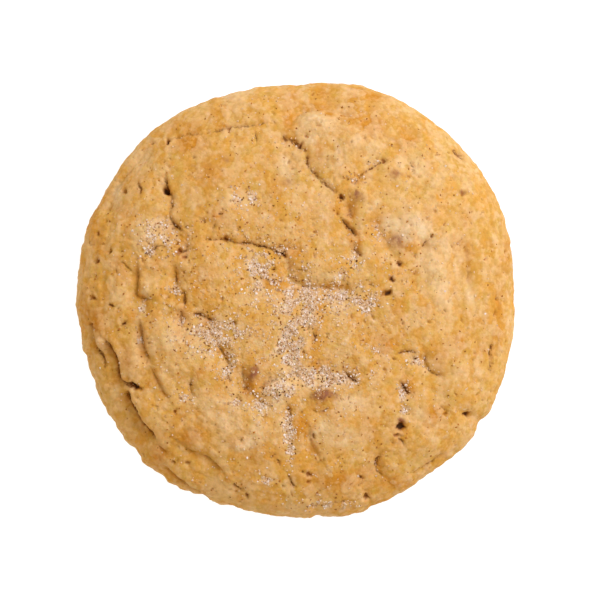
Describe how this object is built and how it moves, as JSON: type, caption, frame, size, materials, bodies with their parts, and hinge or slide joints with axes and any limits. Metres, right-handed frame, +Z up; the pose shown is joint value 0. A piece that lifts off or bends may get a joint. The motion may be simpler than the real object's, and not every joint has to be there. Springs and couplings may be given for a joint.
{
  "type": "snickerdoodle cookie",
  "caption": "Round soft baked cookie with a crowned, cracked top, chips half sunk in the dough, a dusting of sugar and spice, a bulging rim and a flat base to rest on.",
  "frame": {"origin": "middle of the flat base, on the surface the cookie rests on", "axes": "+Z up through the crown, +Y towards the split north plate, +X to the right of it seen from above"},
  "size_m": [0.0794, 0.079, 0.0148],
  "materials": {
    "dough": "matte golden baked dough, paler on its raised plates and browner at the rim, with open crumb in the cracks",
    "sugar": "clear to white sugar grains with small glints",
    "cinnamon": "matte brown ground spice",
    "chip": "dull brown baking chip, softened by baking"
  },
  "bodies": {
    "root": {"cookie": "dough"}
  },
  "joints": []
}
